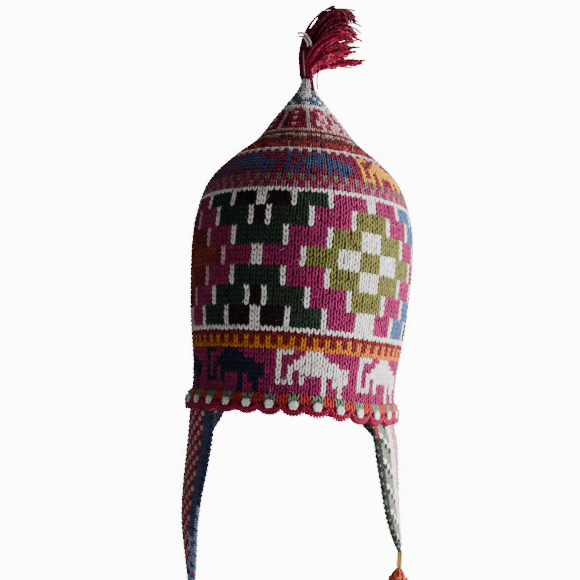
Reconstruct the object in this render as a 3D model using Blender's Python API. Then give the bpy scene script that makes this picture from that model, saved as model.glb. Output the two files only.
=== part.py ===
"""Knitted chullo hat: a pointed crown, a scalloped rim edging, two ear flaps with a corded
border, a yarn tassel under each flap and a larger one on the tip.

Units are metres. The origin is the centre of the head opening, level with the lowest points
of the edging. +Z is up, -Y is the front and +X is the wearer's left, which the front view
shows on the right.
"""

import math
from collections import namedtuple

import bmesh
import bpy
from mathutils import Vector

# Head and crown sizes
HAT_HEIGHT = 0.269
HEAD_HALF_WIDTH = 0.088
HEAD_HALF_DEPTH = 0.098
KNIT_WALL = 0.003
CLEARANCE = 0.0003

# Rim edging sizes
EDGING_HEIGHT = 0.0178
EDGING_STAND = 0.0028
PICOT_COUNT = 30
PICOT_DROP = 0.0035
RIM_COVER = 0.0030

# Ear flap sizes
FLAP_WIDTH = 0.126
LEFT_VIEW_FLAP_LENGTH = 0.146
RIGHT_VIEW_FLAP_LENGTH = 0.105
FLAP_WALL = 0.003
BORDER_WIDTH = 0.0034
BORDER_START_DROP = 0.0010

# Tassel sizes
TOP_TASSEL_REACH = 0.070
TOP_TASSEL_NECK_RADIUS = 0.0062
TOP_LOCK_RADIUS = 0.0066
FLAP_TASSEL_LENGTH = 0.068
FLAP_TASSEL_RADIUS = 0.0125
FLAP_TASSEL_HEAD_RADIUS = 0.0080
FLAP_TASSEL_HEAD_HEIGHT = 0.015
FLAP_LOCK_COUNT = 9
TIE_RADIUS = 0.0026
TIE_LENGTH = 0.0085

# Faces along and around each form
CROWN_SIDES = 54
EDGING_STEPS_PER_PICOT = 6
FLAP_COLUMNS = 14
BORDER_SIDES = 8
LOCK_SIDES = 7
LOCK_RINGS = 6
HEAD_SIDES = 14

# One row for each section of the crown, rim to tip. Height is a share of HAT_HEIGHT, width
# and lean to the right are shares of HEAD_HALF_WIDTH, and depth of HEAD_HALF_DEPTH.
Section = namedtuple("Section", "height width depth lean")
CROWN_SECTIONS = (
    Section(0.000, 0.912, 0.940, 0.000),
    Section(0.082, 0.900, 0.930, 0.000),
    Section(0.134, 0.910, 0.940, 0.000),
    Section(0.200, 0.940, 0.965, 0.000),
    Section(0.290, 0.973, 0.990, -0.002),
    Section(0.398, 0.994, 1.000, -0.004),
    Section(0.470, 1.000, 1.000, -0.006),
    Section(0.540, 0.990, 0.995, -0.008),
    Section(0.597, 0.954, 0.970, -0.012),
    Section(0.645, 0.909, 0.917, -0.014),
    Section(0.683, 0.847, 0.842, -0.010),
    Section(0.718, 0.753, 0.744, -0.007),
    Section(0.754, 0.636, 0.622, -0.013),
    Section(0.788, 0.503, 0.488, -0.018),
    Section(0.815, 0.426, 0.410, -0.027),
    Section(0.860, 0.330, 0.313, -0.040),
    Section(0.915, 0.196, 0.182, -0.056),
    Section(0.955, 0.104, 0.095, -0.062),
    Section(0.977, 0.068, 0.062, -0.067),
    Section(1.000, 0.050, 0.046, -0.070),
)
# The hollow ends where the cone is this many walls wide, and the gathered tip above is solid.
SOLID_TIP_WALLS = 2.6

# Outer profile of the edging, top to rim: height as a share of EDGING_HEIGHT, stand off the
# crown as a share of EDGING_STAND.
Stand = namedtuple("Stand", "height stand")
EDGING_PROFILE = (
    Stand(1.00, 0.42),
    Stand(0.80, 0.85),
    Stand(0.52, 1.00),
)
# Stand off the crown of the round points' outer and inner edges, as shares of EDGING_STAND.
PICOT_OUTER_STAND = 0.86
PICOT_INNER_STAND = 0.12

# One row for each section of a flap, top to tip. Drop and the two flares are shares of the
# flap's length, width of FLAP_WIDTH. Opening is how far the front half hangs away from the
# rim's oval, 0 on it and 1 laid out flat, and back_opening is the same for the back half.
FlapRow = namedtuple("FlapRow", "drop width opening back_opening left_flare right_flare")
FLAP_ROWS = (
    FlapRow(0.00, 1.00, 0.00, 0.00, 0.000, 0.000),
    FlapRow(0.06, 1.00, 0.00, 0.00, 0.000, 0.000),
    FlapRow(0.20, 0.98, 0.00, 0.45, 0.000, 0.035),
    FlapRow(0.35, 0.95, 0.02, 0.66, 0.004, 0.052),
    FlapRow(0.50, 0.91, 0.08, 0.78, 0.006, 0.064),
    FlapRow(0.64, 0.85, 0.10, 0.84, -0.002, 0.076),
    FlapRow(0.77, 0.76, 0.12, 0.88, -0.024, 0.090),
    FlapRow(0.87, 0.65, 0.14, 0.90, -0.044, 0.104),
    FlapRow(0.94, 0.50, 0.16, 0.90, -0.058, 0.113),
    FlapRow(0.98, 0.33, 0.16, 0.90, -0.066, 0.119),
    FlapRow(1.00, 0.15, 0.16, 0.90, -0.070, 0.122),
)

# Locks of the tip tassel. Out is to the right, up and side are from the tassel's foot, bow is
# how far the lock leans left before it falls over; all are shares of TOP_TASSEL_REACH. Girth
# is a share of TOP_LOCK_RADIUS.
TopLock = namedtuple("TopLock", "out up side bow girth")
TOP_LOCKS = (
    TopLock(0.47, 0.84, 0.03, 0.15, 1.00),
    TopLock(0.51, 0.77, -0.14, 0.12, 1.00),
    TopLock(0.53, 0.70, 0.16, 0.12, 1.00),
    TopLock(0.56, 0.62, -0.05, 0.09, 1.00),
    TopLock(0.50, 0.53, 0.22, 0.06, 0.95),
    TopLock(0.48, 0.48, -0.22, 0.06, 0.95),
    TopLock(0.36, 0.66, 0.06, 0.10, 1.10),
    TopLock(0.48, 0.40, 0.09, 0.01, 0.85),
    TopLock(0.53, 0.31, -0.12, -0.03, 0.62),
    TopLock(0.60, 0.24, 0.01, -0.05, 0.46),
    TopLock(0.40, 0.27, 0.18, -0.03, 0.75),
    TopLock(0.28, 0.20, -0.16, -0.02, 0.75),
)

# How far a lock of the tip tassel reaches along its curve before it turns, as shares of its
# tip's place, and where the first lock is rooted in the neck, with the step to each next one.
RISING_UP_SHARE = 0.40
RISING_SIDE_SHARE = 0.35
FALLING_OUT_SHARE = 0.34
FALLING_SIDE_SHARE = 1.05
FALLING_UP_SHARE = 0.96
FIRST_ROOT_SHARE = 0.35
ROOT_STEP_SHARE = 0.07
ROOT_SPREAD_SHARE = 1.2

# Turned profiles, listed from the top down. Drop is a share of the piece's length and radius
# of its radius; the tip tassel's neck has both as shares of its radius.
Turn = namedtuple("Turn", "drop radius")
TOP_NECK_PROFILE = (Turn(-2.4, 0.80), Turn(-1.3, 1.12), Turn(0.0, 0.86))
TIE_PROFILE = (
    Turn(0.00, 0.75),
    Turn(0.15, 1.00),
    Turn(0.45, 1.00),
    Turn(0.60, 0.80),
    Turn(0.85, 0.90),
    Turn(1.00, 0.80),
)
FLAP_TASSEL_PROFILE = (
    Turn(0.00, 0.42),
    Turn(0.18, 0.82),
    Turn(0.50, 1.00),
    Turn(0.80, 0.86),
    Turn(0.95, 0.72),
    Turn(1.60, 0.90),
)

# Thickness along a lock, root to tip, as shares of its greatest radius.
TOP_LOCK_GIRTHS = (0.52, 0.78, 0.95, 1.0, 0.86, 0.40)
FLAP_LOCK_GIRTHS = (0.50, 0.78, 0.95, 1.0, 0.94, 0.62)

# Shape of a flap tassel's lock: drop is a share of FLAP_TASSEL_LENGTH below the head's top,
# out is a share of the skirt's radius. The root is inside the head.
LockPoint = namedtuple("LockPoint", "drop out")
FLAP_LOCK_CURVE = (LockPoint(0.40, 0.75), LockPoint(0.70, 1.10), LockPoint(1.00, 0.85))
LOCK_ROOT = LockPoint(0.75, 0.35)
LOCK_CROWDING = 1.12
UNEVEN_SHARE = 0.05
UNEVEN_TURN = 3.7

# Yarn colours, as red, green and blue
MAGENTA = (0.30, 0.012, 0.075)
CRIMSON = (0.36, 0.015, 0.045)
DARK_RED = (0.22, 0.012, 0.018)
BOTTLE_GREEN = (0.055, 0.085, 0.060)
LIGHT_BLUE = (0.35, 0.42, 0.60)
STRAW_YELLOW = (0.70, 0.45, 0.12)
ORANGE_RED = (0.45, 0.045, 0.010)
WOOL_ROUGHNESS = 0.9
SHARP_ANGLE = math.radians(40)


def clear_scene():
    for existing in list(bpy.data.objects):
        bpy.data.objects.remove(existing, do_unlink=True)


def wool(name, colour):
    material = bpy.data.materials.new(name)
    material.use_nodes = True
    shader = material.node_tree.nodes["Principled BSDF"]
    shader.inputs["Base Color"].default_value = (*colour, 1.0)
    shader.inputs["Roughness"].default_value = WOOL_ROUGHNESS
    shader.inputs["Metallic"].default_value = 0.0
    return material


def make_object(name, shape, material):
    """Turns a bmesh into an object whose faces point outwards, shaded smooth."""
    bmesh.ops.recalc_face_normals(shape, faces=shape.faces[:])
    mesh = bpy.data.meshes.new(name)
    shape.to_mesh(mesh)
    shape.free()
    mesh.shade_smooth()
    mesh.set_sharp_from_angle(angle=SHARP_ANGLE)
    mesh.materials.append(material)
    made = bpy.data.objects.new(name, mesh)
    bpy.context.scene.collection.objects.link(made)
    return made


def add_ring(shape, points):
    return [shape.verts.new(point) for point in points]


def join_rings(shape, first, second):
    """Adds a strip of four-sided faces between two rings of as many points."""
    count = len(first)
    for index in range(count):
        after = (index + 1) % count
        shape.faces.new((first[index], first[after], second[after], second[index]))


def crown_at(height):
    """Half width, half depth and lean of the crown's outer face at a height, in metres."""
    share = min(max(height / HAT_HEIGHT, 0.0), 1.0)
    upper = next(i for i, row in enumerate(CROWN_SECTIONS) if row.height >= share)
    upper = max(upper, 1)
    low, high = CROWN_SECTIONS[upper - 1], CROWN_SECTIONS[upper]
    along = (share - low.height) / (high.height - low.height)
    width = low.width + along * (high.width - low.width)
    depth = low.depth + along * (high.depth - low.depth)
    lean = low.lean + along * (high.lean - low.lean)
    return width * HEAD_HALF_WIDTH, depth * HEAD_HALF_DEPTH, lean * HEAD_HALF_WIDTH


def oval_point(height, angle, stand=0.0, drop=0.0):
    """A point on the crown's outer face, moved out by stand and down by drop. The angle runs
    from the front towards +X."""
    width, depth, lean = crown_at(height)
    across = lean + (width + stand) * math.sin(angle)
    return Vector((across, -(depth + stand) * math.cos(angle), height - drop))


def circle_angles(count):
    return [2 * math.pi * index / count for index in range(count)]


def crown_rim():
    return PICOT_DROP + RIM_COVER


def wall_offset(heights, index):
    """How far the inner face lies inwards and down, across the wall, at a section."""
    below = heights[max(index - 1, 0)]
    above = heights[min(index + 1, len(heights) - 1)]
    narrowing = crown_at(below)[0] - crown_at(above)[0]
    rise = above - below
    length = math.hypot(narrowing, rise)
    return KNIT_WALL * rise / length, KNIT_WALL * narrowing / length


def build_crown():
    """One hollow knitted shell, open at the rim, with a solid gathered tip."""
    above_edging = [row.height * HAT_HEIGHT for row in CROWN_SECTIONS]
    above_edging = [h for h in above_edging if h > EDGING_HEIGHT + KNIT_WALL]
    heights = [crown_rim(), EDGING_HEIGHT] + above_edging
    shape = bmesh.new()
    outer = [
        add_ring(shape, [oval_point(h, a) for a in circle_angles(CROWN_SIDES)])
        for h in heights
    ]
    inner = []
    for index, height in enumerate(heights):
        if crown_at(height)[0] < SOLID_TIP_WALLS * KNIT_WALL:
            break
        inwards, down = (KNIT_WALL, 0.0) if index < 2 else wall_offset(heights, index)
        ring = [
            oval_point(height, a, stand=-inwards, drop=down)
            for a in circle_angles(CROWN_SIDES)
        ]
        inner.append(add_ring(shape, ring))
    for rings in (outer, inner):
        for lower, upper in zip(rings, rings[1:]):
            join_rings(shape, lower, upper)
        shape.faces.new(rings[-1])
    join_rings(shape, outer[0], inner[0])
    make_object("crown", shape, wool("magenta knit", MAGENTA))


def picot_lift(step):
    """Height of the edging's lower edge: round points, one of them at the middle of the
    front, with a notch between each two."""
    along = (step / EDGING_STEPS_PER_PICOT + 0.5) % 1.0
    return PICOT_DROP * (1.0 - math.sqrt(1.0 - (2.0 * along - 1.0) ** 2))


def build_edging():
    """A band that wraps the crown's rim and hangs below it in round points."""
    angles = circle_angles(PICOT_COUNT * EDGING_STEPS_PER_PICOT)
    shape = bmesh.new()
    rings = []
    for row in EDGING_PROFILE:
        height = row.height * EDGING_HEIGHT
        height = max(height, crown_rim() + KNIT_WALL * row.height)
        points = [
            oval_point(height, a, CLEARANCE + row.stand * EDGING_STAND) for a in angles
        ]
        rings.append(add_ring(shape, points))
    for share in (PICOT_OUTER_STAND, PICOT_INNER_STAND):
        points = []
        for step, angle in enumerate(angles):
            point = oval_point(crown_rim(), angle, CLEARANCE + share * EDGING_STAND)
            point.z = picot_lift(step)
            points.append(point)
        rings.append(add_ring(shape, points))
    for height in (crown_rim(), EDGING_HEIGHT):
        points = [oval_point(height, a, CLEARANCE) for a in angles]
        rings.append(add_ring(shape, points))
    for ring, following in zip(rings, rings[1:] + rings[:1]):
        join_rings(shape, ring, following)
    make_object("picot_edging", shape, wool("red and grey edging", DARK_RED))


def flap_top():
    return crown_rim() - CLEARANCE


def flap_length(side):
    return RIGHT_VIEW_FLAP_LENGTH if side > 0 else LEFT_VIEW_FLAP_LENGTH


def flap_point(side, row, across, inwards):
    """A point of a flap. Across runs from -1 at the back edge to 1 at the front edge, and
    inwards is the distance from the outer face. Side is 1 for +X and -1 for -X."""
    width, depth, lean = crown_at(crown_rim())
    width, depth = width - inwards, depth - inwards
    distance = across * row.width * FLAP_WIDTH / 2
    angle = math.pi / 2 - distance / ((width + depth) / 2)
    on_oval = Vector((width * math.sin(angle), -depth * math.cos(angle)))
    laid_flat = Vector((width, -distance))
    spot = on_oval.lerp(laid_flat, row.opening if across > 0 else row.back_opening)
    length = flap_length(side)
    flare = row.right_flare if side > 0 else row.left_flare
    out = lean + side * (spot.x + flare * length)
    return Vector((out, spot.y, flap_top() - row.drop * length))


def build_flap(side, name, colour):
    """A curved sheet of knitting that hangs from the crown's rim, inside the edging."""
    shape = bmesh.new()
    shares = [2 * column / FLAP_COLUMNS - 1 for column in range(FLAP_COLUMNS + 1)]
    rings = []
    for row in FLAP_ROWS:
        outside = [flap_point(side, row, share, 0.0) for share in shares]
        inside = [flap_point(side, row, share, FLAP_WALL) for share in reversed(shares)]
        rings.append(add_ring(shape, outside + inside))
    for upper, lower in zip(rings, rings[1:]):
        join_rings(shape, upper, lower)
    shape.faces.new(rings[0])
    shape.faces.new(rings[-1])
    make_object(name, shape, wool(name + " knit", colour))


def flap_outline(side):
    """The free edge of a flap, from the front of the rim round the tip to the back, as pairs
    of a point in the middle of the wall and the direction across the wall."""
    outline = []
    for share, rows in ((1.0, FLAP_ROWS), (-1.0, reversed(FLAP_ROWS))):
        for row in rows:
            outer = flap_point(side, row, share, 0.0)
            inner = flap_point(side, row, share, FLAP_WALL)
            outline.append(((outer + inner) / 2, (outer - inner).normalized()))
    return outline


def border_route(side):
    """Points along the middle of the border, one border's half width off the flap's edge."""
    outline = flap_outline(side)
    offset = BORDER_WIDTH / 2 + CLEARANCE
    route = []
    for index, (point, across_wall) in enumerate(outline):
        before = point - outline[max(index - 1, 0)][0]
        after = outline[min(index + 1, len(outline) - 1)][0] - point
        along = (before.normalized() + after.normalized()).normalized()
        straight = after if index < len(outline) - 1 else before
        outwards = along.cross(across_wall).normalized() * side
        route.append(point + outwards * offset / along.dot(straight.normalized()))
    return below_edging(below_edging(route)[::-1])[::-1]


def below_edging(route):
    """The route with its first stretch cut off just under the edging's lowest points."""
    start_height = -BORDER_START_DROP
    first = next(i for i, point in enumerate(route) if point.z < start_height)
    above, below = route[first - 1], route[first]
    share = (start_height - below.z) / (above.z - below.z)
    return [below.lerp(above, share)] + route[first:]


def add_tube(shape, route, radii, sides):
    """A closed round tube along a route, with its own radius at each point."""
    direction = (route[1] - route[0]).normalized()
    reference = Vector((1, 0, 0)) if abs(direction.x) < 0.8 else Vector((0, 1, 0))
    rings = []
    for index, (point, radius) in enumerate(zip(route, radii)):
        before = route[max(index - 1, 0)]
        after = route[min(index + 1, len(route) - 1)]
        direction = (after - before).normalized()
        reference = (reference - direction * reference.dot(direction)).normalized()
        other = direction.cross(reference)
        ring = [
            point + radius * (math.cos(a) * reference + math.sin(a) * other)
            for a in circle_angles(sides)
        ]
        rings.append(add_ring(shape, ring))
    for first, second in zip(rings, rings[1:]):
        join_rings(shape, first, second)
    shape.faces.new(rings[0])
    shape.faces.new(rings[-1])


def build_border(side, name):
    """The corded edge sewn round the free edges of a flap."""
    route = border_route(side)
    shape = bmesh.new()
    add_tube(shape, route, [BORDER_WIDTH / 2] * len(route), BORDER_SIDES)
    make_object(name, shape, wool(name + " cord", LIGHT_BLUE))


def tie_top(side):
    """The spot under the lowest point of a flap's border."""
    tip = flap_point(side, FLAP_ROWS[-1], 0.0, FLAP_WALL / 2)
    return tip - Vector((0, 0, BORDER_WIDTH + 2 * CLEARANCE))


def build_tie(side, name):
    """The bound yarn that joins a tassel to its flap: a short post with a round knot."""
    top = tie_top(side)
    material = wool(name + " yarn", STRAW_YELLOW)
    turned_body(name, top, TIE_PROFILE, TIE_LENGTH, TIE_RADIUS, BORDER_SIDES, material)


def bezier(points, share):
    """A point on the cubic curve through the first and last of four points."""
    rest = 1.0 - share
    weights = (rest**3, 3 * rest**2 * share, 3 * rest * share**2, share**3)
    return sum((point * weight for point, weight in zip(points, weights)), Vector())


def fuse_locks(body, locks):
    """Joins yarn locks to the body that they grow from."""
    for index, lock in enumerate(locks):
        lock.hide_render = True
        lock.display_type = "WIRE"
        joint = body.modifiers.new(f"join lock {index + 1}", "BOOLEAN")
        joint.operation = "UNION"
        joint.solver = "EXACT"
        joint.use_self = True
        joint.object = lock


def build_lock(name, controls, radii, material):
    """One tapered lock of yarn along a curve."""
    steps = [index / (LOCK_RINGS - 1) for index in range(LOCK_RINGS)]
    route = [bezier(controls, share) for share in steps]
    shape = bmesh.new()
    add_tube(shape, route, radii, LOCK_SIDES)
    return make_object(name, shape, material)


def turned_body(name, top, profile, length, radius, sides, material):
    """A round body that hangs from the middle of its top."""
    shape = bmesh.new()
    rings = []
    for row in profile:
        centre = top - Vector((0, 0, row.drop * length))
        size = row.radius * radius
        ring = [
            centre + Vector((size * math.sin(a), -size * math.cos(a), 0))
            for a in circle_angles(sides)
        ]
        rings.append(add_ring(shape, ring))
    for upper, lower in zip(rings, rings[1:]):
        join_rings(shape, upper, lower)
    shape.faces.new(rings[0])
    shape.faces.new(rings[-1])
    return make_object(name, shape, material)


def top_lock_curve(foot, row, index):
    """Four points that shape one lock of the tip tassel."""
    neck, reach = TOP_TASSEL_NECK_RADIUS, TOP_TASSEL_REACH
    root = Vector(
        (
            -neck * row.bow,
            neck * ROOT_SPREAD_SHARE * row.side,
            neck * (FIRST_ROOT_SHARE + ROOT_STEP_SHARE * index),
        )
    )
    rising = Vector((-row.bow, RISING_SIDE_SHARE * row.side, RISING_UP_SHARE * row.up))
    falling = Vector(
        (
            FALLING_OUT_SHARE * row.out,
            FALLING_SIDE_SHARE * row.side,
            FALLING_UP_SHARE * row.up,
        )
    )
    tip = Vector((row.out, row.side, row.up))
    return foot + root, foot + reach * rising, foot + reach * falling, foot + reach * tip


def build_top_tassel():
    """The tassel on the tip: a bound neck with locks that fall over to the right."""
    foot = Vector((crown_at(HAT_HEIGHT)[2], 0, HAT_HEIGHT + CLEARANCE))
    material = wool("crimson yarn", CRIMSON)
    neck = TOP_TASSEL_NECK_RADIUS
    body = turned_body(
        "top_tassel", foot, TOP_NECK_PROFILE, neck, neck, HEAD_SIDES, material
    )
    locks = []
    for index, row in enumerate(TOP_LOCKS):
        radii = [girth * row.girth * TOP_LOCK_RADIUS for girth in TOP_LOCK_GIRTHS]
        curve = top_lock_curve(foot, row, index)
        locks.append(build_lock(f"top_lock_{index + 1:02d}", curve, radii, material))
    fuse_locks(body, locks)


def flap_lock_curve(top, outwards, skirt, length):
    """Four points that shape one lock of a flap tassel, which hangs in a bell."""
    head_height = FLAP_TASSEL_HEAD_HEIGHT
    root = outwards * FLAP_TASSEL_HEAD_RADIUS * LOCK_ROOT.out
    root.z = -LOCK_ROOT.drop * head_height
    curve = [top + root]
    for row in FLAP_LOCK_CURVE:
        point = outwards * skirt * row.out
        point.z = -length * row.drop
        curve.append(top + point)
    return curve


def build_flap_tassel(side, name):
    """A hanging tassel: a bound head with a skirt of locks."""
    top = tie_top(side) - Vector((0, 0, TIE_LENGTH + CLEARANCE))
    material = wool(name + " yarn", ORANGE_RED)
    head, height = FLAP_TASSEL_HEAD_RADIUS, FLAP_TASSEL_HEAD_HEIGHT
    body = turned_body(name, top, FLAP_TASSEL_PROFILE, height, head, HEAD_SIDES, material)
    lock_radius = math.pi * FLAP_TASSEL_RADIUS / FLAP_LOCK_COUNT * LOCK_CROWDING
    radii = [girth * lock_radius for girth in FLAP_LOCK_GIRTHS]
    locks = []
    for index in range(FLAP_LOCK_COUNT):
        angle = 2 * math.pi * (index + 0.5) / FLAP_LOCK_COUNT
        outwards = Vector((math.sin(angle), -math.cos(angle), 0))
        uneven = 1.0 + UNEVEN_SHARE * math.sin(UNEVEN_TURN * index + side)
        skirt = FLAP_TASSEL_RADIUS - lock_radius / 2
        curve = flap_lock_curve(top, outwards, skirt, FLAP_TASSEL_LENGTH * uneven)
        lock_name = f"{name}_lock_{index + 1:02d}"
        locks.append(build_lock(lock_name, curve, radii, material))
    fuse_locks(body, locks)


def main():
    clear_scene()
    build_crown()
    build_edging()
    for side, view, colour in ((-1, "left", DARK_RED), (1, "right", BOTTLE_GREEN)):
        build_flap(side, "ear_flap_" + view, colour)
        build_border(side, "flap_border_" + view)
        build_tie(side, "tassel_tie_" + view)
        build_flap_tassel(side, "flap_tassel_" + view)
    build_top_tassel()


main()
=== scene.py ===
"""Knitted chullo hat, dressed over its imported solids: every stitch, cord and tassel strand.

Units are metres. +Z is up, -Y is the front and +X the side that the front view shows on the
right. An angle round the hat is 0 at the front and grows to the right. An arc is a distance
up the crown's surface from the level of the rim's lowest points.
"""

import math
import random
from collections import namedtuple

import bpy
import numpy as np
from mathutils import Matrix, Vector
from mathutils.bvhtree import BVHTree


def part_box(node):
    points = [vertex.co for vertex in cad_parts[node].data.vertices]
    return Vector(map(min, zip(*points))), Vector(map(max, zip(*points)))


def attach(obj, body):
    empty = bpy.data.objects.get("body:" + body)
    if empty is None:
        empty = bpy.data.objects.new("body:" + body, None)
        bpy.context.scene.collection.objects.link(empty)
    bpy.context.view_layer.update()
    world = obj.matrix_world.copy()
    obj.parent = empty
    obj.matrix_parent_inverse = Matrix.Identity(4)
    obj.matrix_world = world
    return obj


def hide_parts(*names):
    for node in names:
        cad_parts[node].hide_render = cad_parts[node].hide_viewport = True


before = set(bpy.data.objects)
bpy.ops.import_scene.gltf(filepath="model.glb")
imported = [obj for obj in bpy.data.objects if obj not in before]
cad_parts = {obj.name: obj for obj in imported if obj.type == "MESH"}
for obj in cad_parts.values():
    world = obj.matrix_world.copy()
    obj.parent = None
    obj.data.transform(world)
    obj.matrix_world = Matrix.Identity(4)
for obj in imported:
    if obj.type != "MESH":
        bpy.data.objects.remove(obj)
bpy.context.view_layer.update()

BODY = "root"

# Camera
CAMERA_PLACE = Vector((-0.0080, -0.912, 0.0075))
CAMERA_PITCH = math.radians(5.63)
CAMERA_ROLL = math.radians(4.0)
CAMERA_LENS = 71.75
CAMERA_SENSOR = 36.0

# Knit
STITCHES_ROUND = 120
STITCH_WIDTH = 0.00486
ROUND_HEIGHT = 0.00371
YARN_STAND = -0.00105
GROUND_STAND = -0.0017
FUZZ_SHARE = 0.75
FLAP_FUZZ_SHARE = 1.0
GROUND_WALL = 0.0013

# Rim edging
PICOT_COUNT = 30
PICOT_DROP = 0.0035
EDGING_TOP = 0.0142

# Ear flaps
FLAP_WIDTH = 0.126
FLAP_LENGTHS = {-1: 0.146, 1: 0.105}
FLAP_WALL = 0.003
BORDER_RADIUS = 0.0017
BORDER_OFFSET = 0.0008
SEAM_GAP = 0.0003
SIDE_NAMES = {-1: "left", 1: "right"}

# Dyed yarns, as linear red, green and blue
YARN = {
    "magenta": (0.255, 0.012, 0.085),
    "deep magenta": (0.160, 0.007, 0.040),
    "maroon": (0.085, 0.008, 0.018),
    "blackened maroon": (0.012, 0.004, 0.005),
    "bottle green": (0.014, 0.032, 0.020),
    "grey green": (0.150, 0.185, 0.130),
    "olive": (0.150, 0.145, 0.034),
    "white": (0.780, 0.735, 0.700),
    "pink white": (0.600, 0.360, 0.390),
    "orange": (0.560, 0.160, 0.012),
    "orange yellow": (0.750, 0.340, 0.010),
    "orange red": (0.500, 0.060, 0.016),
    "brick": (0.240, 0.026, 0.018),
    "plum rose": (0.300, 0.110, 0.140),
    "red": (0.380, 0.024, 0.022),
    "dark red": (0.160, 0.009, 0.016),
    "crimson": (0.360, 0.010, 0.055),
    "navy": (0.009, 0.012, 0.036),
    "slate blue": (0.045, 0.062, 0.150),
    "blue": (0.040, 0.048, 0.125),
    "denim": (0.055, 0.095, 0.230),
    "steel blue": (0.075, 0.110, 0.170),
    "light blue": (0.300, 0.370, 0.560),
    "cream": (0.600, 0.580, 0.560),
    "black": (0.012, 0.013, 0.012),
    "pink": (0.420, 0.075, 0.140),
    "straw yellow": (0.620, 0.400, 0.110),
    "dusty rose": (0.480, 0.270, 0.270),
    "dull olive": (0.170, 0.150, 0.075),
}


def deselect_all():
    if bpy.context.object and bpy.context.object.mode != "OBJECT":
        bpy.ops.object.mode_set(mode="OBJECT")
    bpy.ops.object.select_all(action="DESELECT")


def set_camera():
    data = bpy.data.cameras.new("front camera")
    data.lens = CAMERA_LENS
    data.sensor_width = CAMERA_SENSOR
    data.clip_start = 0.01
    data.clip_end = 50.0
    camera = bpy.data.objects.new("front camera", data)
    bpy.context.scene.collection.objects.link(camera)
    across = Vector((1.0, 0.0, 0.0))
    sight = Vector((0.0, math.cos(CAMERA_PITCH), math.sin(CAMERA_PITCH)))
    rise = Vector((0.0, -math.sin(CAMERA_PITCH), math.cos(CAMERA_PITCH)))
    turned = math.cos(CAMERA_ROLL) * across + math.sin(CAMERA_ROLL) * rise
    stood = -math.sin(CAMERA_ROLL) * across + math.cos(CAMERA_ROLL) * rise
    turn = Matrix((turned, stood, -sight)).transposed()
    camera.matrix_world = Matrix.Translation(CAMERA_PLACE) @ turn.to_4x4()
    bpy.context.scene.camera = camera


def smooth_line(values, reach):
    """The values with short kinks taken out; the ends stay where they are."""
    steps = np.arange(-3 * reach, 3 * reach + 1)
    weights = np.exp(-0.5 * (steps / reach) ** 2)
    before = 2 * values[0] - values[3 * reach:0:-1]
    after = 2 * values[-1] - values[-2:-3 * reach - 2:-1]
    return np.convolve(np.concatenate((before, values, after)), weights / weights.sum(), "valid")


def eased(share, shares, values):
    """A smooth line through a table's values."""
    slopes = np.gradient(values, shares)
    index = np.clip(np.searchsorted(shares, share) - 1, 0, len(shares) - 2)
    step = shares[index + 1] - shares[index]
    along = np.clip((share - shares[index]) / step, 0.0, 1.0)
    return (
        (2 * along**3 - 3 * along**2 + 1) * values[index]
        + (along**3 - 2 * along**2 + along) * step * slopes[index]
        + (3 * along**2 - 2 * along**3) * values[index + 1]
        + (along**3 - along**2) * step * slopes[index + 1]
    )


# ---- surfaces ----

Profile = namedtuple("Profile", "arc height width depth lean rise shrink")
PROFILE_STEPS = 400
PROFILE_SMOOTHING = 4
CROWN_SIDES = 54
FAR_OFF = 0.5


def measure_crown():
    """Half width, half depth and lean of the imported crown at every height."""
    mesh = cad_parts["crown"].data
    tree = BVHTree.FromPolygons(
        [v.co for v in mesh.vertices], [tuple(p.vertices) for p in mesh.polygons]
    )
    low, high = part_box("crown")
    margin = (high.z - low.z) / PROFILE_STEPS / 8
    heights = np.linspace(low.z + margin, high.z - margin, PROFILE_STEPS)
    width, depth, lean = (np.zeros(PROFILE_STEPS) for _ in range(3))
    for index, height in enumerate(heights):
        right = tree.ray_cast(Vector((FAR_OFF, 0, height)), Vector((-1, 0, 0)))[0].x
        left = tree.ray_cast(Vector((-FAR_OFF, 0, height)), Vector((1, 0, 0)))[0].x
        lean[index] = (right + left) / 2
        width[index] = (right - left) / 2 / math.cos(math.pi / CROWN_SIDES)
        front = tree.ray_cast(Vector((lean[index], -FAR_OFF, height)), Vector((0, 1, 0)))[0].y
        depth[index] = -front
    width, depth, lean = (smooth_line(v, PROFILE_SMOOTHING) for v in (width, depth, lean))
    heights, width, depth, lean = (
        np.concatenate(([first], line))
        for first, line in ((0.0, heights), (width[0], width), (depth[0], depth), (lean[0], lean))
    )
    mean = (width + depth) / 2
    arc = np.concatenate(([0.0], np.cumsum(np.hypot(np.diff(heights), np.diff(mean)))))
    rise = np.gradient(heights, arc)
    shrink = -np.gradient(mean, arc)
    return Profile(arc, heights, width, depth, lean, rise, shrink)


CROWN = measure_crown()
TOP_ARC = CROWN.arc[-1]
RIM_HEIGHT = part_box("crown")[0].z


RIM_SAG = 0.0032
SAG_MIDDLE = math.radians(48)
SAG_HALF_SPAN = math.radians(46)
SAG_TOP = 0.085


def rim_sag(angle, arc):
    """How far the rim hangs lower at the right of the front."""
    away = np.clip(np.abs((angle - SAG_MIDDLE + math.pi) % (2 * math.pi) - math.pi)
                   / SAG_HALF_SPAN, 0.0, 1.0)
    return RIM_SAG * np.cos(away * math.pi / 2) ** 2 * np.clip(1.0 - arc / SAG_TOP, 0.0, 1.0)


def crown_surface(angle, arc, stand):
    """Points on the crown, each at its own stand off the solid's outer face."""
    height, width, depth, lean, rise, shrink = (
        np.interp(arc, CROWN.arc, line) for line in CROWN[1:]
    )
    x = lean + (width + stand * rise) * np.sin(angle)
    y = -(depth + stand * rise) * np.cos(angle)
    return np.stack((x, y, height + stand * shrink - rim_sag(angle, arc)), -1)


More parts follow.
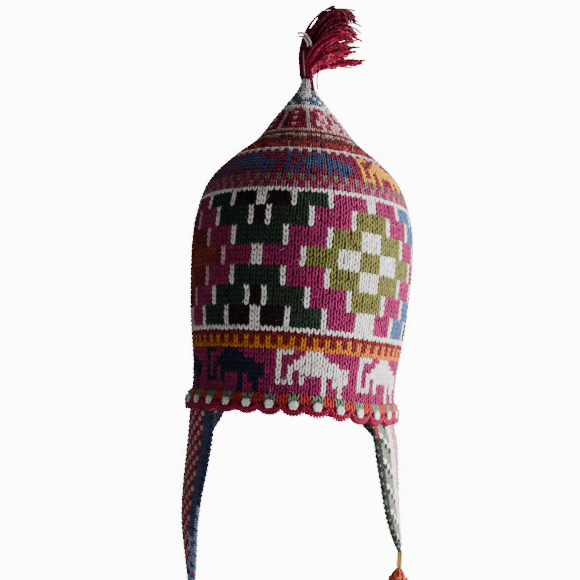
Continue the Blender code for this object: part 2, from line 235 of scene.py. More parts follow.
# One row for each section of a flap, as in the solid: drop, width, opening of the front and of
# the back half, and flare of the left and of the right flap. Drop and flares are shares of the
# flap's length, width of FLAP_WIDTH, and opening is 0 on the rim's oval and 1 laid out flat.
FLAP_ROWS = np.array((
    (0.00, 1.00, 0.00, 0.00, 0.000, 0.000),
    (0.06, 1.00, 0.00, 0.00, 0.000, 0.000),
    (0.20, 0.98, 0.00, 0.45, 0.000, 0.035),
    (0.35, 0.95, 0.02, 0.66, 0.004, 0.052),
    (0.50, 0.91, 0.08, 0.78, 0.006, 0.064),
    (0.64, 0.85, 0.10, 0.84, -0.002, 0.076),
    (0.77, 0.76, 0.12, 0.88, -0.024, 0.090),
    (0.87, 0.65, 0.14, 0.90, -0.044, 0.104),
    (0.94, 0.50, 0.16, 0.90, -0.058, 0.113),
    (0.98, 0.33, 0.16, 0.90, -0.066, 0.119),
    (1.00, 0.15, 0.16, 0.90, -0.070, 0.122),
))
FLAP_FLARE_COLUMN = {-1: 4, 1: 5}


def flap_table(drop, column):
    return eased(drop, FLAP_ROWS[:, 0], FLAP_ROWS[:, column])


def flap_half_width(drop):
    return flap_table(drop, 1) * FLAP_WIDTH / 2


def flap_surface(side, across, drop, stand):
    """Points on a flap. Across is the way along the cloth from its middle to the front."""
    length = FLAP_LENGTHS[side]
    width, depth = (np.interp(RIM_HEIGHT, CROWN.height, line) + stand for line in CROWN[2:4])
    opening = np.where(across > 0, flap_table(drop, 2), flap_table(drop, 3))
    flare = flap_table(drop, FLAP_FLARE_COLUMN[side])
    angle = math.pi / 2 - across / ((width + depth) / 2)
    out = (1 - opening) * width * np.sin(angle) + opening * width
    back = -(1 - opening) * depth * np.cos(angle) - opening * across
    x = side * (out + flare * length)
    return np.stack((x, back, RIM_HEIGHT - SEAM_GAP - drop * length + 0 * x), -1)


# ---- modelled forms that are copied: one stitch and one length of yarn ----

Form = namedtuple("Form", "points faces around along")


def take_form(made):
    """Points, triangles and the way round and along of a modelled object, which is removed."""
    mesh = made.data
    points = np.zeros(len(mesh.vertices) * 3)
    mesh.vertices.foreach_get("co", points)
    points = points.reshape(-1, 3)
    faces = np.array([tuple(p.vertices) for p in mesh.polygons])
    layer = mesh.uv_layers[0].data if mesh.uv_layers else None
    around = along = None
    if layer:
        uv = np.array([tuple(corner.uv) for corner in layer]).reshape(-1, 3, 2)
        around, along = uv[..., 0], uv[..., 1]
    bpy.data.objects.remove(made, do_unlink=True)
    return Form(points, faces, around, along)


def model_leg():
    """One leg of a stitch: a grain of yarn that leans out from the stitch's foot."""
    deselect_all()
    bpy.ops.mesh.primitive_uv_sphere_add(segments=5, ring_count=4, radius=1.0, calc_uvs=True)
    leg = bpy.context.object
    bpy.ops.object.mode_set(mode="EDIT")
    bpy.ops.mesh.select_all(action="SELECT")
    bpy.ops.transform.resize(
        value=(0.275 * STITCH_WIDTH, 0.00125, 0.80 * ROUND_HEIGHT), center_override=(0.0, 0.0, 0.0)
    )
    bpy.ops.transform.rotate(
        value=math.radians(-19), orient_axis="Y", center_override=(0.0, 0.0, 0.0)
    )
    bpy.ops.transform.translate(value=(0.235 * STITCH_WIDTH, 0.0, 0.0))
    bpy.ops.mesh.quads_convert_to_tris()
    bpy.ops.object.mode_set(mode="OBJECT")
    for vertex in leg.data.vertices:
        share = vertex.co.z / (0.80 * ROUND_HEIGHT)
        vertex.co.y += 0.00075 * share * share
    return leg


def model_stitch():
    """A V of two legs. It is modelled once, and every stitch of the hat is a copy of it."""
    right = model_leg()
    deselect_all()
    right.select_set(True)
    bpy.context.view_layer.objects.active = right
    bpy.ops.object.duplicate()
    left = bpy.context.object
    bpy.ops.object.mode_set(mode="EDIT")
    bpy.ops.mesh.select_all(action="SELECT")
    bpy.ops.transform.mirror(
        constraint_axis=(True, False, False), center_override=(0.0, 0.0, 0.0)
    )
    bpy.ops.mesh.normals_make_consistent(inside=False)
    bpy.ops.object.mode_set(mode="OBJECT")
    right.select_set(True)
    bpy.context.view_layer.objects.active = right
    bpy.ops.object.join()
    return take_form(right)


def model_yarn(sides, rings):
    """A straight length of yarn from z = 0 to 1, with a radius of 1."""
    deselect_all()
    bpy.ops.mesh.primitive_cylinder_add(
        vertices=sides, radius=1.0, depth=1.0 / rings, end_fill_type="NOTHING",
        location=(0.0, 0.0, 0.5 / rings), calc_uvs=True,
    )
    yarn = bpy.context.object
    bpy.ops.object.transform_apply(location=True, rotation=True, scale=True)
    row = yarn.modifiers.new("row", "ARRAY")
    row.use_relative_offset = False
    row.use_constant_offset = True
    row.constant_offset_displace = (0.0, 0.0, 1.0 / rings)
    row.count = rings
    row.use_merge_vertices = True
    row.merge_threshold = 0.1 / rings
    bpy.ops.object.modifier_apply(modifier=row.name)
    bpy.ops.object.mode_set(mode="EDIT")
    bpy.ops.mesh.select_all(action="SELECT")
    bpy.ops.mesh.fill_holes(sides=sides)
    bpy.ops.mesh.select_all(action="SELECT")
    bpy.ops.mesh.normals_make_consistent(inside=False)
    bpy.ops.mesh.quads_convert_to_tris()
    bpy.ops.object.mode_set(mode="OBJECT")
    form = take_form(yarn)
    points = form.points
    turn = np.arctan2(points[:, 1], points[:, 0]) / (2 * math.pi) % 1.0
    around = turn[form.faces]
    around = np.where(np.ptp(around, axis=1, keepdims=True) > 0.5, around % 1.0
                      + (around < 0.5), around)
    return Form(points, form.faces, around, points[form.faces][..., 2])


# ---- joined meshes ----

class Bundle:
    """Copies of modelled forms that become one piece, each with its own yarn colour."""

    def __init__(self):
        self.points, self.faces, self.uvs, self.dyes = [], [], [], []
        self.count = 0

    def add(self, points, faces, around, along, dye):
        """Adds copies: points is (copies, points, 3) and dye is (copies, 3)."""
        copies, size = points.shape[:2]
        starts = self.count + size * np.arange(copies)
        self.points.append(points.reshape(-1, 3))
        self.faces.append((faces[None] + starts[:, None, None]).reshape(-1, 3))
        uv = np.stack((np.broadcast_to(around, (copies,) + faces.shape),
                       np.broadcast_to(along, (copies,) + faces.shape)), -1)
        self.uvs.append(uv.reshape(-1, 2))
        self.dyes.append(np.repeat(dye, size, axis=0))
        self.count += copies * size

    def make(self, name, material):
        points = np.concatenate(self.points)
        faces = np.concatenate(self.faces)
        mesh = bpy.data.meshes.new(name)
        mesh.vertices.add(len(points))
        mesh.vertices.foreach_set("co", points.astype(np.float32).ravel())
        mesh.loops.add(len(faces) * 3)
        mesh.loops.foreach_set("vertex_index", faces.astype(np.int32).ravel())
        mesh.polygons.add(len(faces))
        mesh.polygons.foreach_set("loop_start", np.arange(0, len(faces) * 3, 3, dtype=np.int32))
        mesh.update(calc_edges=True)
        mesh.polygons.foreach_set("use_smooth", np.ones(len(faces), dtype=bool))
        uv_map = mesh.uv_layers.new(name="yarn")
        uv_map.uv.foreach_set("vector", np.concatenate(self.uvs).astype(np.float32).ravel())
        dyes = np.concatenate(self.dyes)
        colour = mesh.color_attributes.new("dye", "FLOAT_COLOR", "POINT")
        rgba = np.concatenate((dyes, np.ones((len(dyes), 1))), 1).astype(np.float32)
        colour.data.foreach_set("color", rgba.ravel())
        mesh.materials.append(material)
        mesh.validate()
        return place_piece(bpy.data.objects.new(name, mesh))


FIBRE_RINGS = 2
FIBRE_RADIUS = 0.00014
FIBRE_LENGTHS = (0.0018, 0.0055)


def grow_fibres(bundle, points, dyes, chance, share):
    """Loose fibres that stand off some of the stitches, each in its stitch's colour made lighter as a
    painted highlight.
    """
    form = yarn_form(3, FIBRE_RINGS)
    copies = np.flatnonzero(chance.random(len(points)) < share)
    count = len(copies)
    if not count:
        return
    root = points[copies, chance.integers(0, points.shape[1], count)]
    out = root * (1.0, 1.0, 0.0)
    out /= np.linalg.norm(out, axis=1, keepdims=True)
    way = out + 0.85 * chance.standard_normal((count, 3))
    way /= np.linalg.norm(way, axis=1, keepdims=True)
    curl = 0.7 * chance.standard_normal((count, 3))
    length = chance.uniform(*FIBRE_LENGTHS, (count, 1, 1))
    along = form.points[None, :, 2:]
    spine = root[:, None] + length * (along * way[:, None] + along**2 * curl[:, None])
    thick = FIBRE_RADIUS * (1.0 - 0.5 * along) * (form.points[None] * (1.0, 1.0, 0.0))
    # The fibres are lighter than their stitch: a painted highlight for the light that loose fibres
    # catch.
    dye = np.clip(dyes[copies] * 1.3 + 0.04, 0.0, 0.9)
    bundle.add(spine + thick, form.faces, form.around, form.along, dye)


def place_piece(piece):
    if piece.name not in bpy.context.scene.collection.objects:
        bpy.context.scene.collection.objects.link(piece)
    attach(piece, BODY)
    return piece


def spread_dye(names, spread, chance):
    """The named yarns' colours, each a little lighter or darker than its dye."""
    base = np.array([YARN[name] for name in names])
    return np.clip(base * (1.0 + spread * chance.standard_normal((len(names), 1))), 0.0, 0.9)


# ---- crown rounds ----

Band = namedtuple("Band", "low high rounds stitches chart")


def motif_number(column, centre):
    """Which stitch this is from a motif's middle: 1 for the two beside it."""
    return abs(column - centre) + 0.5


HOURGLASS_HALF_WIDTHS = (12, 9, 5, 1, 5, 9, 12)
DIAMOND_HALF_WIDTHS = (1, 4, 8, 12, 8, 4, 2)
MAIN_STEPS = 7
ROUNDS_A_STEP = 4


def hourglass(step, number, dye):
    """Yarn of an hourglass at a stitch, or nothing where the ground shows."""
    half = HOURGLASS_HALF_WIDTHS[step - 1]
    if number > half:
        return None
    if step == 4 or number == half:
        return "white"
    if step in (1, 7):
        if number <= 1:
            return "white"
        if number < 6:
            return "blackened maroon"
        return "white" if number == 6 else dye
    if step in (2, 6):
        return "blackened maroon" if number <= 1 else "white" if number == 2 else dye
    return dye


def diamond(step, number, dye):
    """Yarn of a diamond with pale blocks inside; the dark one's blocks are brick red."""
    inner = "brick" if dye == "dark red" else "white"
    bar = "pink white" if dye == "dark red" else "white"
    half = DIAMOND_HALF_WIDTHS[step - 1]
    if number > half:
        return None
    if step in (1, 7) or number == half:
        return bar
    if step in (3, 5) and number <= 2:
        return inner
    if step == 4 and 3 <= number <= (10 if dye == "dark red" else 6):
        return inner
    return dye


Motif = namedtuple("Motif", "centre shape dye")
MOTIFS = (
    Motif(-25.5, diamond, "dark red"),
    Motif(-7.5, hourglass, "bottle green"),
    Motif(11.5, diamond, "olive"),
    Motif(29.5, hourglass, "denim"),
    Motif(51.5, diamond, "orange"),
    Motif(-47.5, hourglass, "navy"),
)


def main_chart(row, column, last):
    step = max(1, MAIN_STEPS - row // ROUNDS_A_STEP)
    for motif in MOTIFS:
        away = (column - motif.centre + 60) % 120 - 60
        yarn = motif.shape(step, abs(away) + 0.5, motif.dye)
        if yarn:
            return yarn
    # Left of column -30 the ground is the darker deep magenta: painted shade on the hat's unlit left
    # and back.
    return "deep magenta" if column < -30 else "magenta"


# A pack animal, drawn from its ears' round down to its feet: the columns that it fills.
LLAMA_ROUNDS = (
    (8, 11),
    (0, 1, 2, 4, 8, 10, 11),
    (0, 2, 4, 8, 10, 11, 12),
    (0, 2, 4, 5, 6, 7, 8, 9, 10, 11, 12),
    (0, 2, 3, 4, 5, 6, 7, 8, 9, 10, 11, 12),
    (0, 3, 4, 5, 6, 7, 8, 9, 10),
    (0, 4, 5, 6, 7, 8),
    (0, 1, 2, 5, 6, 7),
)
LLAMA_REPEAT = 15
LOWER_LLAMAS = ("white", "white", "navy", "olive", "white", "orange", "navy", "navy")
UPPER_LLAMAS = ("blue", "orange yellow", "blue", "white", "blue", "orange yellow", "blue", "blue")


def llama_yarn(row, column, start, dyes, ground):
    index, place = divmod(column - start, LLAMA_REPEAT)
    return dyes[index % len(dyes)] if place in LLAMA_ROUNDS[row] else ground


def lower_llama_chart(row, column, last):
    return llama_yarn(max(0, row - 1), column, -3, LOWER_LLAMAS, "magenta")


def upper_llama_chart(row, column, last):
    yarn = llama_yarn(row + 1, column, -4, UPPER_LLAMAS, "deep magenta")
    return yarn


def orange_chart(row, column, last):
    if row == 0:
        return "orange"
    if row == last:
        return "dark red"
    return "orange" if column % 2 else "dark red"


def plain_white(row, column, last):
    return "white"


def tick_chart(row, column, last):
    if row < 2:
        return "magenta" if column % 2 else "plum rose"
    return "dull olive" if column % 2 else "magenta"


def tooth_chart(row, column, last):
    if row == 0:
        return "maroon" if column % 2 else "pink white"
    return "pink white" if column % 2 else "white"


def red_chart(row, column, last):
    if column % 7 == 3:
        return "maroon"
    return "dark red" if (column + 2 * row) % 5 < 3 else "red"


def maroon_chart(row, column, last):
    return "dark red" if (column + row) % 3 == 0 else "maroon"


def olive_line_chart(row, column, last):
    if row == last:
        return "dusty rose" if column % 3 else "dull olive"
    return "dull olive" if (column // 3) % 2 else "maroon"


def rose_line_chart(row, column, last):
    if row == 0:
        return "dark red" if column % 3 else "maroon"
    return "dusty rose"


def red_square_chart(row, column, last):
    """Dark crimson squares with a dotted middle between upright pale lines."""
    place = column % 6
    if place == 0:
        return "dusty rose"
    if row == last:
        return "pink white" if place in (1, 5) else "crimson"
    if column > 1 and (column * 2 + row) % 5 < (3 if row > last // 2 else 2):
        return "pink white"
    if place == 3 and row % 2:
        return "pink white"
    if place in (1, 5):
        return "maroon" if row % 2 else "dark red"
    return "crimson" if (row + place) % 2 else "dark red"


def blue_point_chart(row, column, last):
    """Steel-blue points that narrow upwards, with pale dots."""
    place = column % 7
    half = (3, 3, 2, 2, 1, 1)[row]
    if abs(place - 3) > half:
        return "white"
    return "white" if (place + row) % 4 == 0 else "steel blue"


def cream_chart(row, column, last):
    return "cream"


LOWER_BANDS = (
    Band(EDGING_TOP, 0.0460, 9, 120, lower_llama_chart),
    Band(0.0460, 0.0585, 4, 120, orange_chart),
    Band(0.0585, 0.0620, 1, 120, plain_white),
)
MOTIF_BANDS = (Band(0.0620, 0.1608, 27, 120, main_chart),)
UPPER_BANDS = (
    Band(0.1608, 0.1640, 1, 120, plain_white),
    Band(0.1640, 0.1760, 4, 120, tick_chart),
    Band(0.1760, 0.2020, 7, 120, upper_llama_chart),
    Band(0.2020, 0.2090, 2, 112, tooth_chart),
    Band(0.2090, 0.2200, 3, 105, red_chart),
    Band(0.2200, 0.2270, 2, 88, maroon_chart),
    Band(0.2270, 0.2340, 2, 78, olive_line_chart),
    Band(0.2340, 0.2410, 2, 70, rose_line_chart),
    Band(0.2410, 0.2660, 7, 55, red_square_chart),
    Band(0.2660, 0.2710, 1, 36, plain_white),
    Band(0.2710, 0.2920, 6, 28, blue_point_chart),
    Band(0.2920, 0.3010, 3, 12, cream_chart),
)


def lay_round(bundle, stitch, arc, height, names, chance, surface, width_angle, stand, fuzz):
    """One round of stitches, each a copy of the modelled V bent onto the surface."""
    count = len(names)
    columns = (np.arange(count) - count // 2)[:, None]
    lift = 1.0 + 0.07 * chance.standard_normal((count, 1))
    slip = 0.05 * chance.standard_normal((count, 1))
    across = columns + slip + stitch.points[:, 0] / STITCH_WIDTH
    up = arc + height * (0.06 * chance.standard_normal((count, 1))
                         + stitch.points[:, 2] / ROUND_HEIGHT)
    out = stand - stitch.points[:, 1] * lift
    points = surface(across * width_angle, up, out)
    dyes = spread_dye(names, 0.10, chance)
    bundle.add(points, stitch.faces, stitch.around, stitch.along, dyes)
    grow_fibres(fuzz, points, dyes, chance, FUZZ_SHARE)


def knit_rounds(name, bands, stitch, material, seed, fuzz):
    chance = np.random.default_rng(seed)
    bundle = Bundle()
    for band in bands:
        height = (band.high - band.low) / band.rounds
        for row in range(band.rounds):
            half = band.stitches // 2
            names = [
                band.chart(row, column, band.rounds - 1)
                for column in range(-half, band.stitches - half)
            ]
            lay_round(
                bundle, stitch, band.low + (row + 0.5) * height, height, names, chance,
                crown_surface, 2 * math.pi / band.stitches, YARN_STAND, fuzz,
            )
    return bundle.make(name, material)


# ---- materials ----

def add_node(tree, kind, **inputs):
    node = tree.nodes.new(kind)
    for key, value in inputs.items():
        node.inputs[key.replace("_", " ")].default_value = value
    return node


def fibre_group():
    """Loose wool fibres and plied strands, as a height and, from the same value, a painted shade that
    darkens the ply grooves and the gaps between fibres; the fine noise also varies the tone at random.
    """
    group = bpy.data.node_groups.new("wool fibres", "ShaderNodeTree")
    face = group.interface
    for name, value in (("Fibre Scale", 900.0), ("Ply Turns", 1.0), ("Ply Share", 0.5)):
        socket = face.new_socket(name=name, in_out="INPUT", socket_type="NodeSocketFloat")
        socket.default_value = value
    face.new_socket(name="Shade", in_out="OUTPUT", socket_type="NodeSocketFloat")
    face.new_socket(name="Height", in_out="OUTPUT", socket_type="NodeSocketFloat")
    nodes, links = group.nodes, group.links
    entry, leave = nodes.new("NodeGroupInput"), nodes.new("NodeGroupOutput")
    place = nodes.new("ShaderNodeTexCoord")
    fine = add_node(group, "ShaderNodeTexNoise", Detail=4.0, Roughness=0.65)
    links.new(place.outputs["Object"], fine.inputs["Vector"])
    links.new(entry.outputs["Fibre Scale"], fine.inputs["Scale"])
    split = nodes.new("ShaderNodeSeparateXYZ")
    links.new(place.outputs["UV"], split.inputs["Vector"])
    turned = nodes.new("ShaderNodeMath")
    turned.operation = "MULTIPLY"
    links.new(split.outputs["Y"], turned.inputs[0])
    links.new(entry.outputs["Ply Turns"], turned.inputs[1])
    ply = nodes.new("ShaderNodeMath")
    ply.operation = "MULTIPLY_ADD"
    ply.inputs[1].default_value = 2.0
    links.new(split.outputs["X"], ply.inputs[0])
    links.new(turned.outputs[0], ply.inputs[2])
    wave = nodes.new("ShaderNodeMath")
    wave.operation = "PINGPONG"
    wave.inputs[1].default_value = 0.5
    links.new(ply.outputs[0], wave.inputs[0])
    strand = nodes.new("ShaderNodeMath")
    strand.operation = "MULTIPLY"
    strand.inputs[1].default_value = 2.0
    links.new(wave.outputs[0], strand.inputs[0])
    mix = nodes.new("ShaderNodeMix")
    mix.data_type = "FLOAT"
    links.new(entry.outputs["Ply Share"], mix.inputs[0])
    links.new(fine.outputs["Fac"], mix.inputs[2])
    links.new(strand.outputs[0], mix.inputs[3])
    links.new(mix.outputs[0], leave.inputs["Shade"])
    links.new(mix.outputs[0], leave.inputs["Height"])
    return group


FIBRES = fibre_group()


def wool(name, fibre_scale, ply_turns, ply_share, sheen, bump, roughness=0.92):
    """Dyed wool: the yarn's own colour, with painted shade where the fibre height sinks (between its
    fibres, in the ply grooves) and a painted highlight where it rises on loose ones.
    """
    material = bpy.data.materials.new(name)
    material.use_nodes = True
    tree = material.node_tree
    shader = tree.nodes["Principled BSDF"]
    shader.inputs["Roughness"].default_value = roughness
    shader.inputs["Sheen Weight"].default_value = sheen
    shader.inputs["Sheen Roughness"].default_value = 0.55
    shader.inputs["Specular IOR Level"].default_value = 0.12
    fibres = tree.nodes.new("ShaderNodeGroup")
    fibres.node_tree = FIBRES
    fibres.inputs["Fibre Scale"].default_value = fibre_scale
    fibres.inputs["Ply Turns"].default_value = ply_turns
    fibres.inputs["Ply Share"].default_value = ply_share
    dye = tree.nodes.new("ShaderNodeVertexColor")
    dye.layer_name = "dye"
    # The dye is darkened to 0.50 in the grooves and lightened to 1.22 on the high fibres: painted shade
    # and painted highlight.
    groove_shade_and_highlight = tree.nodes.new("ShaderNodeValToRGB")
    groove_shade_and_highlight.color_ramp.elements[0].position = 0.28
    groove_shade_and_highlight.color_ramp.elements[0].color = (0.50, 0.48, 0.48, 1.0)
    groove_shade_and_highlight.color_ramp.elements[1].position = 0.66
    groove_shade_and_highlight.color_ramp.elements[1].color = (1.22, 1.22, 1.22, 1.0)
    tree.links.new(fibres.outputs["Shade"], groove_shade_and_highlight.inputs["Fac"])
    tint = tree.nodes.new("ShaderNodeMix")
    tint.data_type = "RGBA"
    tint.blend_type = "MULTIPLY"
    tint.inputs[0].default_value = 1.0
    tree.links.new(dye.outputs["Color"], tint.inputs[6])
    tree.links.new(groove_shade_and_highlight.outputs["Color"], tint.inputs[7])
    tree.links.new(tint.outputs[2], shader.inputs["Base Color"])
    relief = tree.nodes.new("ShaderNodeBump")
    relief.inputs["Strength"].default_value = bump
    relief.inputs["Distance"].default_value = 0.0006
    tree.links.new(fibres.outputs["Height"], relief.inputs["Height"])
    tree.links.new(relief.outputs["Normal"], shader.inputs["Normal"])
    return material


# ---- ground cloth ----

def cloth_grid(name, points, dye, closed_round, material):
    """A cloth from a grid of points, given its wall by a solidify modifier."""
    rows, columns = points.shape[:2]
    mesh = bpy.data.meshes.new(name)
    corners = []
    last = columns if closed_round else columns - 1
    for row in range(rows - 1):
        for column in range(last):
            after = (column + 1) % columns
            corners.append((
                row * columns + column, row * columns + after,
                (row + 1) * columns + after, (row + 1) * columns + column,
            ))
    if closed_round:
        corners.append(tuple(range((rows - 1) * columns, rows * columns)))
    mesh.from_pydata([tuple(p) for p in points.reshape(-1, 3)], [], corners)
    mesh.update()
    piece = bpy.data.objects.new(name, mesh)
    bpy.context.scene.collection.objects.link(piece)
    deselect_all()
    piece.select_set(True)
    bpy.context.view_layer.objects.active = piece
    wall = piece.modifiers.new("wall", "SOLIDIFY")
    wall.thickness = GROUND_WALL
    wall.offset = -1.0
    bpy.ops.object.modifier_apply(modifier=wall.name)
    mesh = piece.data
    mesh.polygons.foreach_set("use_smooth", np.ones(len(mesh.polygons), dtype=bool))
    mesh.uv_layers.new(name="yarn")
    colour = mesh.color_attributes.new("dye", "FLOAT_COLOR", "POINT")
    rgba = np.tile(np.array((*YARN[dye], 1.0), np.float32), len(mesh.vertices))
    colour.data.foreach_set("color", rgba)
    mesh.materials.append(material)
    return place_piece(piece)


GROUND_COLUMNS = 72
GROUND_ROWS = 70


def crown_ground(material):
    angle = np.linspace(0, 2 * math.pi, GROUND_COLUMNS, endpoint=False)
    arc = np.linspace(0.0068, TOP_ARC - 0.0006, GROUND_ROWS)
    angle, arc = np.meshgrid(angle, arc)
    points = crown_surface(angle, arc, GROUND_STAND)
    # The ground shows in the gaps between the stitches; its dark deep magenta is partly the yarn behind
    # the knit and partly painted shade in those gaps.
    return cloth_grid("crown_ground", points, "deep magenta", True, material)


FLAP_GROUND_ROWS = 40
FLAP_GROUND_COLUMNS = 25


def flap_ground(side, dye, material):
    drop = np.linspace(0.0, 1.0, FLAP_GROUND_ROWS)[:, None]
    share = np.linspace(-1.0, 1.0, FLAP_GROUND_COLUMNS)[None]
    across = share * flap_half_width(drop)
    points = flap_surface(side, across, drop + 0 * share, GROUND_STAND + 0.0004)
    if side < 0:
        points = points[:, ::-1]
    name = "flap_ground_" + SIDE_NAMES[side]
    return cloth_grid(name, points, dye, False, material)


# ---- ear flaps ----

LEFT_PALE_ROW = 27


def left_flap_chart(row, place, half_count):
    """Blue at the edge, red and pale chevrons, dark green in the middle."""
    if place < 2:
        if row < LEFT_PALE_ROW:
            return "slate blue"
        return "slate blue" if (2 * place + row) % 4 == 0 else "light blue"
    if place < (9 if row < 10 else 10):
        return ("pink white", "crimson", "dark red")[(2 * place + row) % 3]
    return "bottle green"


def right_flap_chart(row, place, half_count):
    """Black at the edge, mottled grey green, then white and pink."""
    if place == 0:
        return "dark red" if row < 5 else "black"
    if place < 4:
        return ("grey green", "white", "grey green", "black", "grey green")[(3 * place + 2 * row) % 5]
    if place < 6:
        return "white"
    if place < 9:
        return "pink" if (place + row) % 2 == 0 else "pink white"
    return "magenta"


PURL_POINTS = 6
PURL_STAND = -0.0029
PURL_RADIUS = 0.00105


def knit_flap(side, chart, stitch, material, seed, fuzz):
    chance = np.random.default_rng(seed)
    length = FLAP_LENGTHS[side]
    rounds = int(length / ROUND_HEIGHT) - 1
    bundle = Bundle()
    for row in range(rounds):
        drop = (row + 0.6) * ROUND_HEIGHT / length
        half = float(flap_half_width(np.array(min(drop + 0.01, 1.0)))) - 0.0004
        half_count = max(1, round(half / STITCH_WIDTH))
        width = half / half_count
        names, middles = [], []
        for facing in (1, -1):
            for place in range(half_count):
                names.append(chart(row, place, half_count))
                middles.append(facing * (half - (place + 0.5) * width))
        count = len(names)
        across = (np.array(middles)[:, None] + width * (
            0.04 * chance.standard_normal((count, 1))
            - side * stitch.points[:, 0] / STITCH_WIDTH))
        down = drop - (stitch.points[:, 2]
                       + 0.05 * ROUND_HEIGHT * chance.standard_normal((count, 1))) / length
        lift = 1.0 + 0.07 * chance.standard_normal((count, 1))
        stand = YARN_STAND - stitch.points[:, 1] * lift
        points = flap_surface(side, across, np.clip(down, 0.0, 1.0), stand)
        dyes = spread_dye(names, 0.10, chance)
        bundle.add(points, stitch.faces, stitch.around, stitch.along, dyes)
        grow_fibres(fuzz, points, dyes, chance, FLAP_FUZZ_SHARE)
    return bundle.make("flap_knit_" + SIDE_NAMES[side], material)


def purl_flap(side, chart, material):
    """The inner face: a bump of looped yarn for each stitch, the wrong side of the knit."""
    length = FLAP_LENGTHS[side]
    bundle = Bundle()
    for row in range(int(length / ROUND_HEIGHT) - 1):
        drop = (row + 0.6) * ROUND_HEIGHT / length
        half = float(flap_half_width(np.array(min(drop + 0.01, 1.0)))) - 0.0010
        half_count = max(1, round(half / STITCH_WIDTH))
        width = half / half_count
        for place in range(-half_count, half_count):
            from_edge = half_count - 1 - place if place >= 0 else place + half_count
            turn = place + np.linspace(0.0, 1.0, PURL_POINTS + 1)
            down = drop - 0.36 * ROUND_HEIGHT * np.sin(2 * math.pi * turn) / length
            stand = PURL_STAND - 0.0003 * np.cos(4 * math.pi * turn)
            route = flap_surface(side, turn * width, np.clip(down, 0.0, 1.0), stand)
            dye = YARN[chart(row, from_edge, half_count)]
            lay_yarn(bundle, route, PURL_RADIUS, dye, sides=4, tips=1.0)
    return bundle.make("flap_purl_" + SIDE_NAMES[side], material)


# ---- yarn along a route ----

def steady(route):
    """Directions along a route and two cross directions that turn as little as they can."""
    along = np.gradient(route, axis=0)
    along /= np.linalg.norm(along, axis=1, keepdims=True)
    first = np.cross(along[0], (0.0, 0.0, 1.0) if abs(along[0][2]) < 0.8 else (1.0, 0.0, 0.0))
    sides = [first / np.linalg.norm(first)]
    for direction in along[1:]:
        turned = sides[-1] - direction * sides[-1].dot(direction)
        sides.append(turned / np.linalg.norm(turned))
    sides = np.array(sides)
    return along, sides, np.cross(along, sides)


def even_route(route, count):
    """The route with points a steady distance apart."""
    steps = np.linalg.norm(np.diff(route, axis=0), axis=1)
    arc = np.concatenate(([0.0], np.cumsum(steps)))
    spots = np.linspace(0.0, arc[-1], count)
    return np.stack([np.interp(spots, arc, route[:, axis]) for axis in range(3)], -1), arc[-1]


YARN_FORMS = {}


def yarn_form(sides, rings):
    if (sides, rings) not in YARN_FORMS:
        YARN_FORMS[(sides, rings)] = model_yarn(sides, rings)
    return YARN_FORMS[(sides, rings)]


def lay_yarn(bundle, route, radius, dye, sides=5, tips=0.35, rings=None):
    """Bends a copy of the modelled length of yarn along a route."""
    rings = rings or len(route) - 1
    route, length = even_route(np.asarray(route, float), rings + 1)
    form = yarn_form(sides, rings)
    along, side, other = steady(route)
    ring = np.clip(np.rint(form.points[:, 2] * rings).astype(int), 0, rings)
    thick = np.full(rings + 1, float(radius))
    thick[0] *= tips
    thick[-1] *= tips
    points = route[ring] + thick[ring, None] * (
        form.points[:, :1] * side[ring] + form.points[:, 1:2] * other[ring]
    )
    bundle.add(points[None], form.faces, form.around, form.along * length / radius,
               np.asarray(dye, float).reshape(1, 3))
    return length


def wind_yarn(bundle, route, core, radius, pitch, dye_at, sides=5, steps=9):
    """Winds yarn round a route; dye_at gives the yarn's name at a share of the way."""
    even, length = even_route(np.asarray(route, float), max(8, int(route_length(route) / 0.001)))
    along, side, other = steady(even)
    turns = max(1, round(length / pitch))
    count = turns * steps + 1
    share = np.linspace(0.0, 1.0, count)
    index = share * (len(even) - 1)
    spots = np.arange(len(even))
    middle, across, rising = (
        np.stack([np.interp(index, spots, line[:, axis]) for axis in range(3)], -1)
        for line in (even, side, other)
    )
    angle = (2 * math.pi * turns * share)[:, None]
    helix = middle + core * (np.cos(angle) * across + np.sin(angle) * rising)
    for turn in range(turns):
        piece = helix[turn * steps:(turn + 1) * steps + 1]
        lay_yarn(bundle, piece, radius, YARN[dye_at((turn + 0.5) / turns)], sides, 0.8)


def route_length(route):
    return float(np.linalg.norm(np.diff(np.asarray(route), axis=0), axis=1).sum())


# ---- rim edging ----

def picot_lift(angle):
    along = (angle / (2 * math.pi) * PICOT_COUNT + 0.5) % 1.0
    return PICOT_DROP * (1.0 - np.sqrt(np.clip(1.0 - (2.0 * along - 1.0) ** 2, 0.0, 1.0)))


EDGING_ROUNDS = (0.0076, 0.0109, EDGING_TOP)
EDGING_STANDS = np.array(((0.0, 0.0020), (0.0065, 0.0027), (0.0093, 0.0030), (0.0120, 0.0026),
                          (0.0145, 0.0012)))


def edging_surface(angle, arc, stand):
    return crown_surface(angle, arc, np.interp(arc, *EDGING_STANDS.T) + stand)


def edging_chart(row, column):
    return "grey green" if (column + 1) % 4 < 2 else "red"


DOT_ARC = 0.0066
DOT_STAND = 0.0030
DOT_GRAIN = 0.00170
DOT_GRAINS = ((0, 0.2), (1, 0.1), (-1, 0.1), (0.55, 0.95), (-0.55, 0.95), (0.6, -0.8), (-0.6, -0.8))
DOT_STEP = 0.00165


def model_grain():
    """A short grain of yarn, copied for the white points."""
    deselect_all()
    bpy.ops.mesh.primitive_uv_sphere_add(segments=7, ring_count=5, radius=1.0, calc_uvs=True)
    grain = bpy.context.object
    bpy.ops.object.mode_set(mode="EDIT")
    bpy.ops.mesh.select_all(action="SELECT")
    bpy.ops.mesh.quads_convert_to_tris()
    bpy.ops.object.mode_set(mode="OBJECT")
    return take_form(grain)


